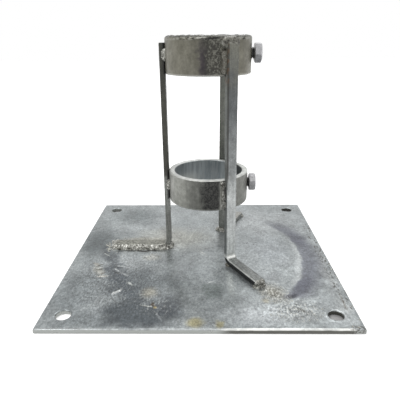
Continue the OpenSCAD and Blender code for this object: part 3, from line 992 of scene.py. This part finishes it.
def edge_height(x, y, down):
    """The height of a point down the sheet's edge, where the skin's unevenness dies out."""
    skin = relief(x, y) * (1 - down / TOP)
    return TOP + skin - down


def edge_steps(count=5):
    """Steps round the sheet's edge, as how far along and how far down from where the flat face ends."""
    turns = [math.radians(90 * i / count) for i in range(1, count + 1)]
    upper = [(SHEET_EDGE_R * math.sin(a), SHEET_EDGE_R * (1 - math.cos(a))) for a in turns]
    return upper + [(along, TOP - down) for along, down in reversed(upper)]


def square_round(half):
    """Points round a square, from its near left corner."""
    side = list(range(-half, half, SHEET_STEP))
    around = [(s, -half) for s in side] + [(half, s) for s in side]
    return around + [(-s, half) for s in side] + [(-half, -s) for s in side]


class Sheet:
    """The plate being made: its top and underside share their points with the walls between them."""

    def __init__(self):
        self.steel = bmesh.new()
        self.top = {}
        self.under = {}

    def place(self, x, y, on_top):
        store = self.top if on_top else self.under
        key = (round(x, 3), round(y, 3))
        if key not in store:
            height = TOP + relief(x, y) if on_top else PLATE_LOW.z
            store[key] = self.steel.verts.new((x, y, height))
        return store[key]

    def both(self, corners):
        for on_top in (True, False):
            self.steel.faces.new([self.place(x, y, on_top) for x, y in corners])

    def wall(self, mouth, rows):
        """Faces from the top down to the underside along a mouth, through rows of points."""
        chain = [[self.place(x, y, True) for x, y in mouth]]
        chain += [[self.steel.verts.new(point) for point in row] for row in rows]
        chain.append([self.place(x, y, False) for x, y in mouth])
        for first, second in zip(chain, chain[1:]):
            join_rows(self.steel, first, second)

    def add_hole(self, centre_x, centre_y):
        square = [(centre_x + x, centre_y + y) for x, y in square_round(HOLE_PATCH)]
        turns = [math.atan2(y - centre_y, x - centre_x) for x, y in square]

        def circle(radius):
            return [(centre_x + radius * math.cos(a), centre_y + radius * math.sin(a)) for a in turns]

        mouth = circle(HOLE_R + SHEET_EDGE_R)
        rows = []
        for share in (0.0, 0.14, 0.3, 0.5, 0.75, 1.0):
            rows.append([(mx + (sx - mx) * share, my + (sy - my) * share)
                         for (mx, my), (sx, sy) in zip(mouth, square)])
        for inner, outer in zip(rows, rows[1:]):
            for i in range(len(inner)):
                j = (i + 1) % len(inner)
                self.both([inner[i], outer[i], outer[j], inner[j]])
        walls = []
        for along, down in edge_steps():
            loop = circle(HOLE_R + SHEET_EDGE_R - along)
            walls.append([(x, y, edge_height(x, y, down)) for x, y in loop])
        self.wall(rows[0], walls)


def border_point(x, y, flat_half, along, down):
    """A point of the plate's outer edge, which the shears left a little uneven."""
    out_x = math.copysign(1, x) if abs(x) == flat_half else 0
    out_y = math.copysign(1, y) if abs(y) == flat_half else 0
    corner = 0.75 if out_x and out_y else 1.0
    bite = 0.28 * abs(noise.noise(Vector((x / 6, y / 6, down / 3)))) + 0.12
    reach = (along - bite * along / SHEET_EDGE_R) * corner
    return (x + out_x * reach, y + out_y * reach, edge_height(x, y, down))


def near_hole(x, y):
    return abs(abs(x) - HOLE_AT) < HOLE_PATCH and abs(abs(y) - HOLE_AT) < HOLE_PATCH


def plate_mesh():
    """The sheet: a fine grid with four round holes, rounded edges and a slightly uneven skin."""
    sheet = Sheet()
    flat_half = round(PLATE_HALF - SHEET_EDGE_R)
    lines = range(-flat_half, flat_half, SHEET_STEP)
    for x in lines:
        for y in lines:
            far_x, far_y = x + SHEET_STEP, y + SHEET_STEP
            if not near_hole((x + far_x) / 2, (y + far_y) / 2):
                sheet.both([(x, y), (far_x, y), (far_x, far_y), (x, far_y)])
    for centre_x in (-HOLE_AT, HOLE_AT):
        for centre_y in (-HOLE_AT, HOLE_AT):
            sheet.add_hole(centre_x, centre_y)
    border = square_round(flat_half)
    sheet.wall(border, [[border_point(x, y, flat_half, along, down) for x, y in border]
                        for along, down in edge_steps()])
    bmesh.ops.scale(sheet.steel, vec=(MM, MM, MM), verts=sheet.steel.verts)
    return as_mesh(sheet.steel, "plate")


# ---------------------------------------------------------------- bolts

HEAD_POINTS = 96
HEAD_ROWS = 14
HEAD_BLEND = 0.25


def head_radius(angle, turn, from_top, face_r):
    """A hexagon's radius at an angle, where the turned-off cone of its top doesn't come inside it."""
    sector = (math.degrees(angle) - turn) % 60 - 30
    hexagon = HEAD_AF / 2 / math.cos(math.radians(sector))
    cone = face_r + from_top / math.tan(math.radians(30))
    return -HEAD_BLEND * math.log(math.exp(-hexagon / HEAD_BLEND) + math.exp(-cone / HEAD_BLEND))


def head_mesh(underside, turn, height):
    """A hexagon head with its corners turned off and a washer face, lying along +X."""
    face_r = 0.475 * HEAD_AF
    levels = [(0.0, 0.93 * face_r), (0.35, 0.95 * face_r)]
    levels += [(0.45 + (height - 0.5) * i / HEAD_ROWS, None) for i in range(HEAD_ROWS + 1)]
    levels += [(height, face_r - 0.35), (height, face_r - 1.6)]
    levels += [(height - 0.12, face_r - 2.2), (height - 0.12, face_r - 5.5)]
    angles = [2 * math.pi * i / HEAD_POINTS for i in range(HEAD_POINTS)]
    forging = bmesh.new()
    rows = []
    for along, fixed in levels:
        row = []
        for angle in angles:
            radius = fixed or head_radius(angle, turn, height - along, face_r)
            spot = underside + Vector((along, radius * math.sin(angle), -radius * math.cos(angle)))
            row.append(forging.verts.new(spot * MM))
        rows.append(row)
    for first, second in zip(rows, rows[1:]):
        join_rows(forging, first, second)
    for row in (rows[0], rows[-1]):
        middle = forging.verts.new(sum((v.co for v in row), Vector()) / HEAD_POINTS)
        for i in range(HEAD_POINTS):
            forging.faces.new((row[i], row[(i + 1) % HEAD_POINTS], middle))
    return as_mesh(forging, "head")


# ---------------------------------------------------------------- pieces

def add_plate():
    add_piece("plate_sheet", plate_mesh(), plate_finish(), ["base_plate"])


# For each leg: tones down its broad face and down its sides as (height, colour) pairs, which paint a
# reflection that brightens them towards the foot and the sides' light and shade, its foot's colour, and how
# crusted with weld metal the foot is.
BAR_LOOKS = {
    "left": (((200, (110, 113, 110)), (60, (122, 125, 122))),
             ((176, (60, 60, 54)), (90, (58, 58, 52)), (64, (128, 130, 126)), (20, (130, 131, 126))),
             (120, 120, 112), 0.4),
    "front": (((200, (98, 98, 90)), (160, (84, 87, 88)), (110, (121, 124, 124)), (62, (188, 191, 190)),
               (20, (204, 207, 205))),
              ((200, (92, 88, 78)), (160, (95, 98, 95)), (60, (100, 103, 102)), (20, (108, 112, 112))),
              (126, 129, 127), 0.16),
    "back": (((200, (84, 86, 82)), (60, (110, 112, 106))),
             ((200, (92, 94, 88)), (110, (96, 98, 92)), (60, (130, 132, 128))),
             (150, 150, 145), 0.2),
}


def bar_path(leg):
    """The middle of a bar: down from its top, round the bend and out to its toe."""
    middle = RING_R + BAR_T / 2
    low = TOP + LIFT[leg] + BAR_T / 2
    above_bend = TOP + LIFT[leg] + HEEL_R + 1
    upright = [(middle, leaned(leg, height), height) for height in (LEG_TOP, above_bend)]
    return lines_mesh(upright + [(middle, 0, low), (RING_R + FOOT[leg], 0, low)])


def add_legs():
    tree = bar_tree()
    for number, (leg, turn) in enumerate(LEG_TURN.items()):
        tones, side_tones, foot, crust = BAR_LOOKS[leg]
        finish = bar_finish(leg, tones, side_tones, foot, crust)
        mesh = grown(tree, bar_path(leg), finish, Width=BAR_W, Thickness=BAR_T, Bend=BEND_R + BAR_T / 2,
                     Step=0.7, Pit_height=0.6 * crust + 0.08, Turn=(0.0, 0.0, math.radians(turn)),
                     Foot_of_mast=tuple(MAST), Seed=17.0 * number)
        add_piece(leg + "_bar", mesh, finish, [leg + "_leg"])


# For each ring: its colours, of which the rim's is painted light and shade on the up-facing rim, how ragged
# its rim and how round its shoulder are, how strong its dark patch, a painted reflection, and the violet
# beside the patch are, and how much painted light brightens it to the left.
RING_LOOKS = {
    "upper": {"outside": (101, 99, 88), "inside": (94, 97, 96), "rim": (66, 66, 60),
              "ragged": 0.9, "shoulder": 3.0, "dark": 0.75, "violet": 0.85, "glow": 1.0},
    "lower": {"outside": (104, 105, 100), "inside": (150, 156, 158), "rim": (204, 206, 202),
              "ragged": 0.25, "shoulder": 0.8, "dark": 1.0, "violet": 0.0, "glow": 1.5},
}


def add_rings():
    tree = ring_tree()
    boxes = {"upper": (UPPER_LOW, UPPER_HIGH), "lower": (LOWER_LOW, LOWER_HIGH)}
    for number, (name, look) in enumerate(RING_LOOKS.items()):
        low, high = boxes[name]
        finish = ring_finish(name, low.z, high.z, look)
        middle = (MAST.x, MAST.y, (low.z + high.z) / 2)
        mesh = grown(tree, lines_mesh([(0, 0, 0), (1, 0, 0)]), finish,
                     Middle_radius=(RING_R + BORE_R) / 2, Wall=RING_R - BORE_R, Height=high.z - low.z,
                     Middle=middle, Rim_height=look["ragged"], Shoulder=look["shoulder"],
                     Seed=5.0 + 31.0 * number)
        add_piece(name + "_pipe_ring", mesh, finish, [name + "_ring"])


# Weld finishes: ground colour, how strong the painted highlights on the crests and the painted shade in the
# hollows are, the size of the crust's lumps, and the bar beside which painted shade darkens the gaps.
WELD_LOOKS = {
    "bright": ((140, 140, 133), 0.95, 0.9, 2.1),
    "dull": ((88, 86, 78), 0.14, 0.55),
    "patchy": ((124, 124, 118), 0.6, 0.9, 3.2, "front"),
    "torn": ((94, 93, 85), 0.2, 0.95, 2.8),
    "smooth": ((116, 116, 110), 0.5, 0.4),
}
RING_WELDS = {"left_upper": "bright", "left_lower": "bright",
              "front_upper": "dull", "front_lower": "patchy"}
LUMPY = {"Ripple_depth": 0.08, "Lump_height": 2.2, "Lump_size": 5.0}
CRUSTED = {"Ripple_depth": 0.3, "Lump_height": 1.6, "Lump_size": 3.6}
TORN = {"Ripple_depth": 0.2, "Lump_height": 1.4, "Lump_size": 4.5}


def bead(tree, start, end, face, finish, seed, radius=BEAD_R, **sizes):
    along = (end - start).normalized()
    mesh = grown(tree, lines_mesh([start, end]), finish, Radius=radius, Along=tuple(along),
                 Face=tuple(face.normalized()), Seed=seed, **sizes)
    for vertex in mesh.vertices:
        vertex.co.z = max(vertex.co.z, MM)
    return mesh


def upright_pair(tree, leg, node, finish, seed):
    """The two beads in the corners between a leg's edges and a ring."""
    rough = LUMPY if leg == "front" else {}
    turn = LEG_TURN[leg]
    low, high = size_of(node)
    beads = []
    for side in (-1, 1):
        start, end = [round_mast(turn, RING_R - BEAD_SINK, side * BEAD_AT + leaned(leg, z), z)
                      for z in (low.z, high.z)]
        face = round_mast(turn, 1, side, 0) - MAST
        beads.append(bead(tree, start, end, face, finish, seed + side, **rough))
    return merged(beads)


def cross_bead(tree, leg, out, height, half, face_out, finish, seed, aside=0.0, **sizes):
    """A bead that lies across a leg."""
    turn = LEG_TURN[leg]
    start = round_mast(turn, out, aside - half, height)
    end = round_mast(turn, out, aside + half, height)
    face = round_mast(turn, face_out, 0, 1) - MAST
    return bead(tree, start, end, face, finish, seed, **sizes)


def foot_edge_bead(tree, side, low, high, finish, seed, radius):
    """A bead along one long edge of the left foot, from low to high out from the bar's inner face."""
    turn = LEG_TURN["left"]
    start = round_mast(turn, RING_R + low, side * BEAD_AT, TOP - BEAD_SINK)
    end = round_mast(turn, RING_R + high, side * BEAD_AT, TOP - BEAD_SINK)
    face = round_mast(turn, 0, side, 1) - MAST
    return bead(tree, start, end, face, finish, seed, radius=radius, **CRUSTED)


def add_bead(name, mesh, finish):
    add_piece(name + "_bead", mesh, finish, [name + "_weld"])


def add_ring_welds(tree, coats, leg, seed):
    for ring, extra in (("upper", 7), ("lower", 2)):
        node = leg + "_" + ring + "_weld"
        finish = coats[RING_WELDS.get(leg + "_" + ring, "smooth")]
        mesh = upright_pair(tree, leg, node, finish, seed + extra)
        add_piece(node + "_beads", mesh, finish, [node])


def add_toe(tree, coats, leg, seed):
    radius = TOP_BEAD_R if leg == "left" else BEAD_R
    finish = coats["bright" if leg == "left" else "smooth"]
    rough = {} if leg == "back" else CRUSTED
    out = RING_R + FOOT[leg]
    toe = cross_bead(tree, leg, out - BEAD_SINK, TOP - BEAD_SINK, (BAR_W + radius) / 2, 1,
                     finish, seed, radius=radius, **rough)
    if leg == "front":
        cap = cross_bead(tree, leg, out + 0.2, TOP + 4.0, (BAR_W + 0.6) / 2, 1,
                         finish, seed + 2, radius=CAP_BEAD_R, **CRUSTED)
        toe = merged([toe, cap])
    add_bead(leg + "_toe", toe, finish)


def add_heel(tree, coats, leg, seed):
    radius = BEAD_R if leg == "front" else HEEL_BLOB_R
    half = (BAR_W + (2 * radius if leg == "back" else radius)) / 2
    # the front heel takes the dark dull finish as painted shade
    finish = coats["dull" if leg == "front" else "bright"]
    heel = cross_bead(tree, leg, RING_R + heel_bead_out(radius, LIFT[leg]), TOP - BEAD_SINK, half, -1,
                      finish, seed + 5, radius=radius, **CRUSTED)
    add_bead(leg + "_heel", heel, finish)


def add_welds():
    tree = bead_tree()
    coats = {name: weld_finish("galvanised_weld_" + name, *look) for name, look in WELD_LOOKS.items()}
    for number, leg in enumerate(LEG_TURN):
        for add in (add_ring_welds, add_toe, add_heel):
            add(tree, coats, leg, 3.0 * number)
    top = cross_bead(tree, "front", RING_R - BEAD_SINK, LEG_TOP - BEAD_SINK, (BAR_W + 1.2 * TOP_BEAD_R) / 2,
                     1, coats["torn"], 11.0, aside=leaned("front", LEG_TOP), radius=TOP_BEAD_R, **TORN)
    add_bead("front_top", top, coats["torn"])
    finish = coats["bright"]
    low = heel_bead_out(HEEL_BLOB_R, 0) + HEEL_BLOB_R + 0.4
    high = FOOT["left"] - TOP_BEAD_R - 0.8
    add_bead("left_side", foot_edge_bead(tree, -1, low, high, finish, 4.0, BEAD_R), finish)
    long_bead = foot_edge_bead(tree, 1, 1.0, FOOT["left"] - 1.0, finish, 9.0, LONG_BEAD_R)
    add_bead("left_long", long_bead, finish)


def add_bolts():
    tree = thread_tree()
    finish = bolt_finish("zinc_plated_head", (174, 174, 176))
    dark = bolt_finish("zinc_plated_thread", (84, 84, 84))
    for ring, turn in (("upper", 35.0), ("lower", 7.5)):
        head_low, head_high = size_of(ring + "_bolt_head")
        shank_low, shank_high = size_of(ring + "_bolt_shank")
        underside = Vector((head_low.x, MAST.y, (shank_low.z + shank_high.z) / 2))
        head = head_mesh(underside, turn, head_high.x - head_low.x)
        add_piece(ring + "_hex_head", head, finish, [ring + "_bolt_head"],
                  body=ring + "_head", sharp=40)
        shank = grown(tree, lines_mesh([(0, 0, 0), (1, 0, 0)]), dark, Length=shank_high.x - shank_low.x,
                      Radius=THREAD_R, Pitch=PITCH, Head_underside=tuple(underside))
        add_piece(ring + "_threaded_shank", shank, dark, [ring + "_bolt_shank"],
                  body=ring + "_shank", sharp=60)


# Patches of zinc grains and spatter: x, y, half length, half width, turn, grains per square mm,
# smallest and largest radius, clump size.
GRAIN_PATCHES = (
    (-58, 11, 40, 14, 0, 0.10, 0.12, 0.5, 7),
    (-92, 10, 7, 13, 0, 0.5, 0.25, 1.1, 7),
    (-62, 24, 32, 6, 0, 0.5, 0.15, 0.7, 6),
    (-84, -8, 10, 7, 20, 0.16, 0.15, 0.6, 5),
    (-48, -14, 10, 8, 0, 0.35, 0.15, 0.55, 5),
    (-52, 20, 20, 5, 0, 0.25, 0.15, 0.6, 5),
    (64, -77, 18, 12, -62, 0.35, 0.15, 0.7, 5),
    (78, -106, 24, 11, 10, 0.16, 0.15, 0.6, 6),
    (123.2, -40, 1.2, 78, 0, 0.12, 0.3, 0.85, 9),
    (119, -120, 5, 4, 0, 0.30, 0.3, 0.9, 6),
    (0, 0, 122, 120, 0, 0.0035, 0.12, 0.4, 20),
)


def ellipse_patch(x, y, long, wide, turn, points=32):
    mesh = bpy.data.meshes.new("patch")
    outline = []
    for i in range(points):
        angle = 2 * math.pi * i / points
        spot = Vector((long * math.cos(angle), wide * math.sin(angle), 0))
        spot.rotate(Euler((0, 0, math.radians(turn))))
        outline.append((x + spot.x, y + spot.y, TOP))
    mesh.from_pydata(outline, [], [list(range(points))])
    return mesh


def add_grains():
    tree = grain_tree()
    finish = weld_finish("zinc_grain", (170, 170, 162), 0.5, 0.3)
    strewn = []
    for number, (x, y, long, wide, turn, density, small, large, clump) in enumerate(GRAIN_PATCHES):
        patch = ellipse_patch(x, y, long, wide, turn)
        strewn.append(grown(tree, patch, finish, Grains_per_square_mm=density, Smallest=small,
                            Largest=large, Clump_size=float(clump), Seed=number + 1))
    add_piece("zinc_grains", merged(strewn), finish, sharp=180)


# ---------------------------------------------------------------- camera, floor and light

EYE = Vector((5.65, -377.73, 206.01))
LOOK_YAW = -0.87
LOOK_DOWN = 21.24
LOOK_ROLL = -0.48
LENS = 37.386
SENSOR = 36.0


def add_camera():
    yaw, down, roll = (math.radians(value) for value in (LOOK_YAW, LOOK_DOWN, LOOK_ROLL))
    ahead = Vector((math.sin(yaw) * math.cos(down), math.cos(yaw) * math.cos(down), -math.sin(down)))
    level = Vector((math.cos(yaw), -math.sin(yaw), 0))
    up = level.cross(ahead)
    right = level * math.cos(roll) + up * math.sin(roll)
    top = up * math.cos(roll) - level * math.sin(roll)
    lens = bpy.data.cameras.new("camera")
    lens.lens = LENS
    lens.sensor_width = SENSOR
    lens.sensor_fit = "HORIZONTAL"
    lens.clip_start = 0.01
    lens.clip_end = 50
    camera = bpy.data.objects.new("camera", lens)
    bpy.context.scene.collection.objects.link(camera)
    turn = Matrix((right, top, -ahead)).transposed().to_4x4()
    camera.matrix_world = Matrix.Translation(EYE * MM) @ turn
    bpy.context.scene.camera = camera


def seen_directly(graph):
    """1 for what the camera sees straight, in gloss or through glass, and 0 for what only lights."""
    path = graph.node("ShaderNodeLightPath").outputs
    gloss = graph.larger(path["Is Glossy Ray"], path["Is Transmission Ray"])
    return graph.larger(path["Is Camera Ray"], gloss)


def add_world():
    world = bpy.data.worlds.new("studio")
    bpy.context.scene.world = world
    world.use_nodes = True
    graph = Graph(world.node_tree)
    back = world.node_tree.nodes["Background"]
    back.inputs["Color"].default_value = (1, 1, 1, 1)
    graph.feed(back.inputs["Strength"], graph.span(seen_directly(graph), 0.0, 1.0, 0.38, 1.0, smooth=False))


FLOOR_HALF = 4.0
FLOOR_NEAR = 0.5


def floor_finish():
    """Pale paper that glows white where it is seen, more so further out, with painted shade under the
    plate: darker there and unlit, but for the front-left hole.
    """
    material = bpy.data.materials.new("pale_floor")
    material.use_nodes = True
    graph = Graph(material.node_tree)
    paper = material.node_tree.nodes["Principled BSDF"].inputs
    paper["Roughness"].default_value = 0.9
    paper["Specular IOR Level"].default_value = 0.0
    place = graph.node("ShaderNodeTexCoord").outputs["Object"]
    x, y = graph.split(graph.vector("ABSOLUTE", place))[:2]
    beside = graph.span(graph.larger(x, y), 0.119, 0.121)
    x, y = graph.split(place)[:2]
    by_hole = graph.times(graph.span(x, -0.08, -0.09), graph.span(y, -0.08, -0.09))
    glow = graph.span(graph.vector("LENGTH", place), 0.2, 0.7, FLOOR_NEAR, 1.0)
    open_floor = graph.larger(beside, by_hole)
    # painted shade: under the plate the floor is darker and doesn't glow
    pale = graph.span(open_floor, 0.0, 1.0, 0.4, 0.86)
    graph.feed(paper["Base Color"], graph.joined(pale, pale, pale))
    paper["Emission Color"].default_value = (1, 1, 1, 1)
    graph.feed(paper["Emission Strength"], graph.times(glow, open_floor, seen_directly(graph)))
    return material


def add_floor():
    """A pale floor that shows white and still takes the bracket's shadow."""
    mesh = bpy.data.meshes.new("floor")
    corners = [(x * FLOOR_HALF, y * FLOOR_HALF, 0) for x, y in ((-1, -1), (1, -1), (1, 1), (-1, 1))]
    mesh.from_pydata(corners, [], [(0, 1, 2, 3)])
    mesh.materials.append(floor_finish())
    floor = bpy.data.objects.new("floor", mesh)
    bpy.context.scene.collection.objects.link(floor)
    floor.location.z = -0.0002


def add_lamp(name, place, aim, size, power):
    light = bpy.data.lights.new(name, "AREA")
    light.shape = "DISK"
    light.size = size
    light.energy = power
    lamp = bpy.data.objects.new(name, light)
    bpy.context.scene.collection.objects.link(lamp)
    lamp.location = place
    lamp.rotation_euler = (Vector(aim) - Vector(place)).to_track_quat("-Z", "Y").to_euler()


def add_lamps():
    centre = (0.0, 0.0, 0.08)
    add_lamp("key", (-0.55, -0.45, 0.95), centre, 0.5, 6.0)
    add_lamp("fill", (0.9, -0.5, 0.6), centre, 0.6, 2.4)
    add_lamp("top", (0.1, 0.5, 1.0), centre, 0.7, 4.2)


bpy.context.scene.view_settings.view_transform = "Standard"
add_camera()
add_world()
add_floor()
add_lamps()
add_plate()
add_legs()
add_rings()
add_welds()
add_bolts()
add_grains()
